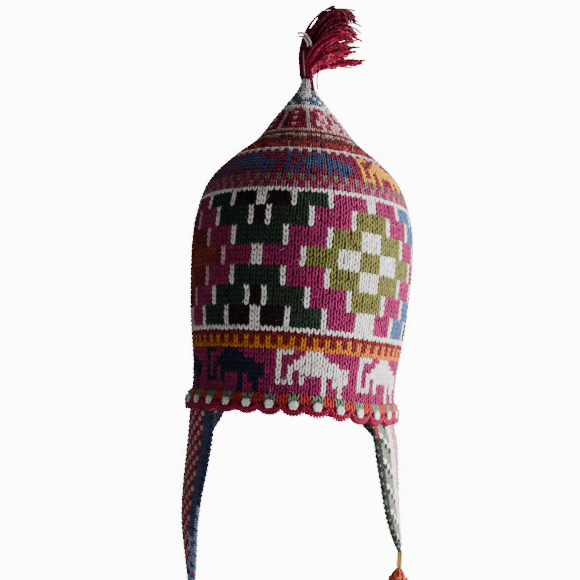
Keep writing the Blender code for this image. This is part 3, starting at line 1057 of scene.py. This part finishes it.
def edging_dots(grain, material):
    """The round white points: a knot of yarn in the middle of each scallop."""
    bundle = Bundle()
    chance = np.random.default_rng(41)
    girth = CROWN.width[0]
    middles = 2 * math.pi * np.arange(PICOT_COUNT)[:, None] / PICOT_COUNT
    for across, up in DOT_GRAINS:
        size = DOT_GRAIN * chance.uniform(0.9, 1.15, (PICOT_COUNT, 1))
        angle = middles + (across * DOT_STEP + grain.points[:, 0] * size) / girth
        arc = DOT_ARC + up * DOT_STEP + grain.points[:, 2] * size
        stand = DOT_STAND - 0.8 * grain.points[:, 1] * size
        dyes = spread_dye(["white"] * PICOT_COUNT, 0.08, chance)
        bundle.add(crown_surface(angle, arc, stand), grain.faces, grain.around, grain.along, dyes)
    return bundle.make("edging_dots", material)


def knit_edging(stitch, material, fuzz):
    chance = np.random.default_rng(31)
    bundle = Bundle()
    for row, (low, high) in enumerate(zip(EDGING_ROUNDS, EDGING_ROUNDS[1:])):
        names = [edging_chart(row, column) for column in range(-60, 60)]

        def shifted(angle, arc, stand):
            return edging_surface(angle + math.pi / STITCHES_ROUND, arc, stand)

        lay_round(bundle, stitch, (low + high) / 2, high - low, names, chance,
                  shifted, 2 * math.pi / STITCHES_ROUND, -0.0010, fuzz)
    return bundle.make("edging_knit", material)


SCALLOP_ROWS = ((0.0, 0.0017, 0.00125), (0.0020, 0.0023, 0.0011))
SCALLOP_POINTS = 14
SCALLOP_RISE = 0.0066


def crochet_rim(material):
    """The crimson rim: a wound cord that hangs in a round scallop under each white point."""
    bundle = Bundle()
    reach = math.pi / PICOT_COUNT
    turn = np.linspace(-1.0, 1.0, SCALLOP_POINTS)
    for picot in range(PICOT_COUNT):
        middle = 2 * math.pi * picot / PICOT_COUNT
        for inner, stand, core in SCALLOP_ROWS:
            lift = (SCALLOP_RISE - inner) * (1.0 - np.sqrt(1.0 - 0.97 * turn**2))
            route = crown_surface(middle + 0.96 * reach * turn, 0.0006 + inner + lift, stand + 0 * turn)
            wind_yarn(bundle, route, core, 0.00095, 0.0021, lambda share: "crimson", steps=7)
    return bundle.make("edging_rim", material)


def edging_ground(material):
    columns = PICOT_COUNT * 8
    angle = np.linspace(0, 2 * math.pi, columns, endpoint=False)
    arcs = np.array((0.0, 0.0035, 0.0065, 0.0093, 0.0120, 0.0145))[:, None]
    lift = picot_lift(angle)[None]
    arc = np.maximum(arcs, lift + 0.0008)
    points = crown_surface(angle + 0 * arc, arc, np.interp(arc, *EDGING_STANDS.T) - 0.0016)
    name = "edging_ground"
    rows = len(arcs)
    mesh = bpy.data.meshes.new(name)
    corners = []
    for row in range(rows - 1):
        for column in range(columns):
            after = (column + 1) % columns
            corners.append((row * columns + column, row * columns + after,
                            (row + 1) * columns + after, (row + 1) * columns + column))
    mesh.from_pydata([tuple(p) for p in points.reshape(-1, 3)], [], corners)
    mesh.update()
    piece = bpy.data.objects.new(name, mesh)
    bpy.context.scene.collection.objects.link(piece)
    deselect_all()
    piece.select_set(True)
    bpy.context.view_layer.objects.active = piece
    wall = piece.modifiers.new("wall", "SOLIDIFY")
    wall.thickness = 0.0008
    wall.offset = -1.0
    bpy.ops.object.modifier_apply(modifier=wall.name)
    mesh = piece.data
    mesh.uv_layers.new(name="yarn")
    colour = mesh.color_attributes.new("dye", "FLOAT_COLOR", "POINT")
    rgba = np.tile(np.array((*YARN["crimson"], 1.0), np.float32), len(mesh.vertices))
    colour.data.foreach_set("color", rgba)
    mesh.materials.append(material)
    return place_piece(piece)


# ---- flap borders, ties and tassels ----

def border_route(side):
    """The middle of the cord round a flap's free edge, front to back."""
    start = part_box("flap_border_" + SIDE_NAMES[side])[1].z - BORDER_RADIUS
    drop = np.linspace((RIM_HEIGHT - start) / FLAP_LENGTHS[side], 1.0, 90)
    route = []
    for facing, drops in ((1, drop), (-1, drop[::-1])):
        edge = flap_surface(side, facing * flap_half_width(drops), drops, -FLAP_WALL / 2)
        wall = flap_surface(side, facing * flap_half_width(drops), drops, 0.0) - edge
        route.append(np.stack((edge, wall)))
    edge, wall = np.concatenate(route, 1)
    along = np.gradient(edge, axis=0)
    out = np.cross(along, wall) * side
    out /= np.linalg.norm(out, axis=1, keepdims=True)
    route = edge + out * BORDER_OFFSET
    return np.stack([smooth_line(route[:, axis], 2) for axis in range(3)], -1)


def left_border_dye(share):
    low = 1.0 - abs(2.0 * share - 1.0)
    if 0.70 < low < 0.725 or 0.955 < low < 0.975:
        return "pink"
    if low < 0.40:
        return "navy" if int(low * 90) % 3 else "slate blue"
    return "slate blue" if int(low * 90) % 5 == 0 else "light blue"


def right_border_dye(share):
    low = 1.0 - abs(2.0 * share - 1.0)
    return "grey green" if int(low * 60) % 3 == 1 else "black" if low < 0.7 else "bottle green"


def whip_border(side, dye_at, material):
    bundle = Bundle()
    route = border_route(side)
    lay_yarn(bundle, route, 0.0009, YARN[dye_at(0.5)], sides=6, rings=120)
    wind_yarn(bundle, route, 0.0010, 0.00078, 0.0019, dye_at)
    return bundle.make("border_whipping_" + SIDE_NAMES[side], material)


def tie_box(side):
    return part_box("tassel_tie_" + SIDE_NAMES[side])


def wind_tie(side, material):
    low, high = tie_box(side)
    middle = (low + high) / 2
    spine = np.linspace((middle.x, middle.y, high.z + 0.0030), (middle.x, middle.y, low.z - 0.0010), 12)
    bundle = Bundle()
    lay_yarn(bundle, spine, 0.0014, YARN["straw yellow"], rings=6)
    wind_yarn(bundle, spine, 0.0016, 0.0008, 0.0014, lambda share: "straw yellow")
    return bundle.make("tie_winding_" + SIDE_NAMES[side], material)


def curve_through(points, count):
    """A cubic Bezier curve with the given four points."""
    share = np.linspace(0.0, 1.0, count)[:, None]
    rest = 1.0 - share
    a, b, c, d = (np.asarray(p, float) for p in points)
    return rest**3 * a + 3 * rest**2 * share * b + 3 * rest * share**2 * c + share**3 * d


FLAP_TASSEL_STRANDS = 74


def flap_tassel(side, material):
    chance = random.Random(50 + side)
    low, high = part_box("flap_tassel_" + SIDE_NAMES[side])
    tie_low, tie_high = tie_box(side)
    top = Vector(((tie_low.x + tie_high.x) / 2, (tie_low.y + tie_high.y) / 2, tie_low.z - 0.0003))
    length = top.z - low.z
    bundle = Bundle()
    for index in range(FLAP_TASSEL_STRANDS):
        angle = index * 2.39996 + chance.uniform(-0.2, 0.2)
        ring = math.sqrt((index + 0.5) / FLAP_TASSEL_STRANDS)
        out = Vector((math.sin(angle), -math.cos(angle), 0.0))
        reach = length * chance.uniform(0.88, 0.99)
        spread = 0.0128 * ring * chance.uniform(0.86, 1.0)
        drop = Vector((0.0, 0.0, -1.0))
        swing = Vector((chance.uniform(-1, 1), chance.uniform(-1, 1), 0.0)) * 0.0015
        curve = curve_through((
            top + drop * 0.0010 + out * 0.0012,
            top + drop * 0.0070 + out * 0.0085 * ring,
            top + drop * 0.50 * reach + out * spread + swing,
            top + drop * reach + out * spread * 0.90 - swing,
        ), 15)
        wave = chance.uniform(0.0003, 0.0008)
        phase = chance.uniform(0, 6.28)
        share = np.linspace(0.0, 1.0, 15)
        across = Vector((-out.y, out.x, 0.0))
        curve += (wave * np.sin(phase + share * 14.0) * share)[:, None] * np.array(across)
        shade = chance.uniform(0.72, 1.25)
        dye = np.array(YARN["orange red"]) * shade
        lay_yarn(bundle, curve, 0.00105, dye, sides=5, tips=0.7)
    neck = np.array((top.x, top.y, top.z - 0.0095))
    spine = np.linspace(neck + (0, 0, 0.0018), neck - (0, 0, 0.0018), 6)
    wind_yarn(bundle, spine, 0.0072, 0.0009, 0.0016, lambda share: "orange red", steps=18)
    return bundle.make("flap_tassel_strands_" + SIDE_NAMES[side], material)


# The tip tassel's locks, as in the solid: shares of its reach from the foot.
TOP_LOCKS = (
    (0.47, 0.84, 0.03, 0.15, 1.00),
    (0.51, 0.77, -0.14, 0.12, 1.00),
    (0.53, 0.70, 0.16, 0.12, 1.00),
    (0.56, 0.62, -0.05, 0.09, 1.00),
    (0.50, 0.53, 0.22, 0.06, 0.95),
    (0.48, 0.48, -0.22, 0.06, 0.95),
    (0.36, 0.66, 0.06, 0.10, 1.10),
    (0.48, 0.40, 0.09, 0.01, 0.85),
    (0.53, 0.31, -0.12, -0.03, 0.62),
    (0.60, 0.24, 0.01, -0.05, 0.46),
    (0.40, 0.27, 0.18, -0.03, 0.75),
    (0.28, 0.20, -0.16, -0.02, 0.75),
)
TOP_TASSEL_REACH = 0.070
TOP_NECK_RADIUS = 0.0062
TOP_LOCK_RADIUS = 0.0066
STRANDS_A_LOCK = 13


# The white yarn end that sticks out of the tassel, a pale strand down its neck, a loose
# strand and a strand over the tip, each with its yarn, thickness and route.
LooseStrand = namedtuple("LooseStrand", "yarn radius route")
LOOSE_STRANDS = (
    LooseStrand("white", 0.00105, (
        (-0.0165, -0.0120, 0.3022), (-0.0140, -0.0135, 0.3030), (-0.0105, -0.0140, 0.3020),
        (-0.0075, -0.0145, 0.2990), (-0.0055, -0.0140, 0.2955), (-0.0040, -0.0110, 0.2920),
    )),
    LooseStrand("white", 0.00085, (
        (-0.0150, -0.0100, 0.3002), (-0.0132, -0.0125, 0.3004), (-0.0108, -0.0138, 0.2990),
        (-0.0085, -0.0140, 0.2958), (-0.0070, -0.0120, 0.2920),
    )),
    LooseStrand("dusty rose", 0.00060, (
        (-0.0104, -0.0100, 0.2890), (-0.0104, -0.0104, 0.2850), (-0.0098, -0.0098, 0.2800),
        (-0.0090, -0.0090, 0.2735), (-0.0078, -0.0070, 0.2690),
    )),
    LooseStrand("crimson", 0.00070, (
        (0.0010, -0.0110, 0.2850), (0.0020, -0.0125, 0.2800), (0.0034, -0.0130, 0.2750),
        (0.0020, -0.0125, 0.2700), (0.0014, -0.0120, 0.2655), (0.0026, -0.0125, 0.2610),
        (0.0030, -0.0130, 0.2570),
    )),
    LooseStrand("pink", 0.00080, (
        (-0.0045, -0.0080, 0.2830), (-0.0034, -0.0092, 0.2760), (-0.0022, -0.0082, 0.2700),
        (-0.0014, -0.0076, 0.2655), (-0.0006, -0.0096, 0.2600), (0.0004, -0.0128, 0.2555),
    )),
    LooseStrand("crimson", 0.00080, (
        (-0.0060, -0.0070, 0.2830), (-0.0048, -0.0084, 0.2750), (-0.0036, -0.0070, 0.2690),
        (-0.0028, -0.0068, 0.2650), (-0.0020, -0.0088, 0.2600), (-0.0012, -0.0110, 0.2570),
    )),
)
CURL_POINTS = 22


def top_tassel(material):
    """Crimson strands that rise from the tip, fold over to the right and curl at their ends."""
    chance = random.Random(7)
    foot = Vector((CROWN.lean[-1], 0.0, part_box("top_tassel")[0].z))
    bundle = Bundle()
    reach = TOP_TASSEL_REACH
    share = np.linspace(0.0, 1.0, CURL_POINTS)
    for out, up, side, bow, girth in TOP_LOCKS:
        upper = up > 0.55
        for strand in range(round(STRANDS_A_LOCK * (2.6 if upper else 1.2))):
            angle = chance.uniform(0, 2 * math.pi)
            ring = TOP_LOCK_RADIUS * girth * math.sqrt(chance.random()) * 0.95
            off = Vector((math.cos(angle), math.sin(angle), 0.5 * math.sin(2 * angle))) * ring
            neck = off * (TOP_NECK_RADIUS * 0.8 / TOP_LOCK_RADIUS)
            stop = chance.uniform(0.60, 0.95) if upper else chance.uniform(0.80, 1.06)
            aim = up + (chance.uniform(-0.06, 0.05) if upper else chance.uniform(-0.03, 0.03))
            curve = curve_through((
                foot + Vector((0, 0, 0.0010)) + neck,
                foot + reach * Vector((-bow, 0.35 * side, 0.40 * aim)) + neck * 0.9 + off * 0.3,
                foot + reach * Vector((0.34 * out, 1.05 * side, 0.98 * aim)) + off,
                foot + reach * Vector((out * stop, side, aim)) + off,
            ), CURL_POINTS)
            start = chance.uniform(0, 6.28)
            turns = chance.uniform(7.0, 15.0)
            curl = chance.uniform(0.0006, 0.0030)
            fade = share ** 2.2
            if upper:
                hook = np.clip((share - 0.72) / 0.28, 0.0, 1.0)
                drop = chance.uniform(0.2, 1.0) * reach
                curve[:, 2] += 0.030 * reach * np.sin(math.pi * share) - 0.09 * drop * hook ** 2
                curve[:, 0] += 0.10 * drop * hook - 0.07 * drop * hook ** 3
            curve[:, 0] += curl * 0.6 * fade * np.sin(start + turns * share)
            curve[:, 1] += curl * fade * np.sin(start * 2 + 0.8 * turns * share)
            curve[:, 2] += curl * fade * np.cos(start + turns * share)
            small = chance.uniform(0.0002, 0.0005)
            curve[:, 2] += small * share * np.sin(start + 38.0 * share)
            # Locks high up and on the left are darkened to 0.40: painted shade on the tassel's unlit
            # side.
            depth = 0.40 if up > 0.75 or (up > 0.6 and off.x < 0) else 1.0
            dye = np.array(YARN["crimson"]) * chance.uniform(0.75, 1.25) * depth
            lay_yarn(bundle, curve, chance.uniform(0.00080, 0.00105), dye, tips=0.8)
    for strand in LOOSE_STRANDS:
        route, _ = even_route(np.array(strand.route), 24)
        route = np.stack([smooth_line(route[:, axis], 2) for axis in range(3)], -1)
        lay_yarn(bundle, route, strand.radius, YARN[strand.yarn], tips=0.7)
    return bundle.make("top_tassel_strands", material)


# ---- light and floor ----

FLOOR_GLOW = 11.5
SKY_SEEN = 12.0
SKY_LIGHT = 0.13


def stage_floor():
    bpy.ops.mesh.primitive_plane_add(size=30.0, location=(0.0, 0.0, -0.236))
    floor = bpy.context.object
    floor.name = "floor"
    bpy.ops.object.transform_apply(location=True, rotation=True, scale=True)
    material = bpy.data.materials.new("pale floor")
    material.use_nodes = True
    shader = material.node_tree.nodes["Principled BSDF"]
    shader.inputs["Base Color"].default_value = (0.45, 0.45, 0.45, 1.0)
    shader.inputs["Roughness"].default_value = 0.9
    shader.inputs["Emission Color"].default_value = (1.0, 1.0, 1.0, 1.0)
    seen = material.node_tree.nodes.new("ShaderNodeLightPath")
    bright = material.node_tree.nodes.new("ShaderNodeMath")
    bright.operation = "MULTIPLY"
    bright.inputs[1].default_value = FLOOR_GLOW
    material.node_tree.links.new(seen.outputs["Is Camera Ray"], bright.inputs[0])
    material.node_tree.links.new(bright.outputs[0], shader.inputs["Emission Strength"])
    floor.data.materials.append(material)


def add_light(name, place, target, size, power, colour):
    data = bpy.data.lights.new(name, "AREA")
    data.shape = "RECTANGLE"
    data.size, data.size_y = size
    data.energy = power
    data.color = colour
    light = bpy.data.objects.new(name, data)
    bpy.context.scene.collection.objects.link(light)
    light.location = place
    light.rotation_euler = (Vector(target) - Vector(place)).to_track_quat("-Z", "Y").to_euler()


def set_light():
    world = bpy.data.worlds.new("studio")
    bpy.context.scene.world = world
    world.use_nodes = True
    tree = world.node_tree
    back = tree.nodes["Background"]
    back.inputs["Color"].default_value = (1.0, 1.0, 1.0, 1.0)
    seen = tree.nodes.new("ShaderNodeLightPath")
    strength = tree.nodes.new("ShaderNodeMix")
    strength.data_type = "FLOAT"
    strength.inputs[2].default_value = SKY_LIGHT
    strength.inputs[3].default_value = SKY_SEEN
    tree.links.new(seen.outputs["Is Camera Ray"], strength.inputs[0])
    tree.links.new(strength.outputs[0], back.inputs["Strength"])
    add_light("key", (1.50, 0.10, 0.30), (0.0, 0.0, 0.08), (0.7, 0.7), 74.0, (1.0, 0.98, 0.99))
    add_light("low", (0.46, -0.42, -0.12), (0.06, -0.05, 0.02), (0.22, 0.22), 1.9, (1.0, 0.97, 1.0))
    add_light("top", (0.8, 0.1, 1.4), (0.0, 0.0, 0.15), (0.8, 0.8), 12.0, (1.0, 0.99, 0.98))
    add_light("fill", (-0.5, -1.6, 0.9), (0.0, 0.0, 0.15), (1.2, 1.2), 2.2, (0.95, 0.97, 1.0))


# ---- the hat ----

set_camera()
stage_floor()
set_light()

knit_wool = wool("crown wool", 700.0, 0.6, 0.35, 0.06, 0.7)
ground_wool = wool("crown ground wool", 500.0, 0.0, 0.0, 0.05, 0.8)
edging_wool = wool("edging wool", 700.0, 0.6, 0.35, 0.08, 0.7)
left_flap_wool = wool("left flap wool", 700.0, 0.6, 0.35, 0.08, 0.7)
right_flap_wool = wool("right flap wool", 700.0, 0.6, 0.35, 0.08, 0.7)
border_wool = wool("border wool", 900.0, 0.35, 0.5, 0.08, 0.7)
fuzz_wool = wool("loose fibre wool", 700.0, 0.0, 0.0, 0.2, 0.0)
tie_wool = wool("tie wool", 900.0, 0.35, 0.5, 0.2, 0.7)
flap_tassel_wool = wool("flap tassel wool", 900.0, 0.22, 0.6, 0.15, 0.8, roughness=0.6)
top_tassel_wool = wool("top tassel wool", 900.0, 0.22, 0.6, 0.08, 0.8)

STITCH = model_stitch()

ground = crown_ground(ground_wool)
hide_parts("crown")
crown_fuzz = Bundle()
knit_rounds("crown_lower_rounds", LOWER_BANDS, STITCH, knit_wool, 11, crown_fuzz)
knit_rounds("crown_motif_rounds", MOTIF_BANDS, STITCH, knit_wool, 12, crown_fuzz)
knit_rounds("crown_upper_rounds", UPPER_BANDS, STITCH, knit_wool, 13, crown_fuzz)

rim_ground = edging_ground(edging_wool)
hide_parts("picot_edging")
knit_edging(STITCH, edging_wool, crown_fuzz)
edging_dots(model_grain(), edging_wool)
crochet_rim(edging_wool)
crown_fuzz.make("crown_fuzz", fuzz_wool)

for side, chart, dye, cloth in (
    (-1, left_flap_chart, "dark red", left_flap_wool),
    (1, right_flap_chart, "bottle green", right_flap_wool),
):
    view = SIDE_NAMES[side]
    flap = flap_ground(side, dye, cloth)
    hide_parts("ear_flap_" + view)
    flap_fuzz = Bundle()
    knit_flap(side, chart, STITCH, cloth, 20 + side, flap_fuzz)
    flap_fuzz.make("flap_fuzz_" + view, fuzz_wool)
    purl_flap(side, chart, cloth)
    border = whip_border(side, left_border_dye if side < 0 else right_border_dye, border_wool)
    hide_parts("flap_border_" + view)
    tie = wind_tie(side, tie_wool)
    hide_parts("tassel_tie_" + view)
    tassel = flap_tassel(side, flap_tassel_wool)
    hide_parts("flap_tassel_" + view)

tip = top_tassel(top_tassel_wool)
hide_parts("top_tassel")
